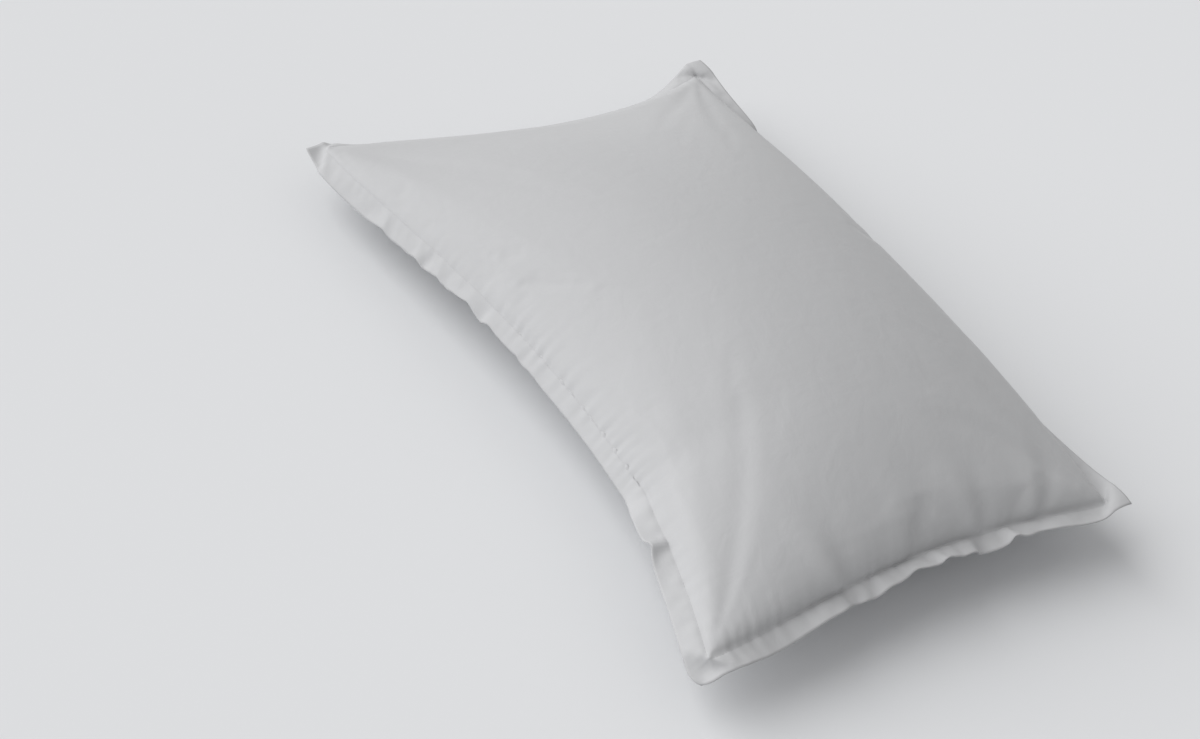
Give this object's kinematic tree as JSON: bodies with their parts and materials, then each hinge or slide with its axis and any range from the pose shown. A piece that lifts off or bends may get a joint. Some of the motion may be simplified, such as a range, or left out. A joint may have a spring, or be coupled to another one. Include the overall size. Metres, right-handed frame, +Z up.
{
  "type": "bed pillow",
  "caption": "Stuffed bed pillow in a plain grey case with a narrow flat topstitched flange and an envelope closure on its back; it flattens under a head and springs back.",
  "frame": {"origin": "middle of the pillow's bounding box in plan, at the height of the bed that it lies on", "axes": "+X along the pillow's length towards the end with the closure, +Y across its width, +Z up out of the plain front panel"},
  "size_m": [0.73, 0.5, 0.1548],
  "materials": {
    "case_cloth": "plain-woven cotton, smooth, matt with a faint sheen",
    "case_thread": "spun sewing thread, matt",
    "label_tape": "blank woven satin tape",
    "ticking_cloth": "tight white cotton cambric, matt",
    "piping_cloth": "white cotton-covered cord",
    "ticking_thread": "spun sewing thread, matt",
    "fibre_fill": "loose carded polyester fibre"
  },
  "bodies": {
    "pillow": {"case_front_panel": "case_cloth", "case_back_panel": "case_cloth", "case_closure_flap": "case_cloth", "flange_topstitch": "case_thread", "back_hem_stitch": "case_thread", "flap_hem_stitch": "case_thread", "closure_bartacks": "case_thread", "case_care_label": "label_tape", "ticking_front": "ticking_cloth", "ticking_back": "ticking_cloth", "ticking_piping": "piping_cloth", "ticking_closing_stitch": "ticking_thread", "ticking_label": "label_tape", "fill_core_batt": "fibre_fill", "fill_base_batt": "fibre_fill"},
    "upper_fill": {"fill_top_batt": "fibre_fill"}
  },
  "joints": [
    {"name": "loft_press", "type": "slide", "parent": "pillow", "child": "upper_fill", "axis": [0, 0, -1], "range_m": [0, 0.05], "stiffness_N_per_m": 850, "springref_m": -0.006, "deforming": ["case_front_panel", "ticking_front", "fill_core_batt"]}
  ]
}
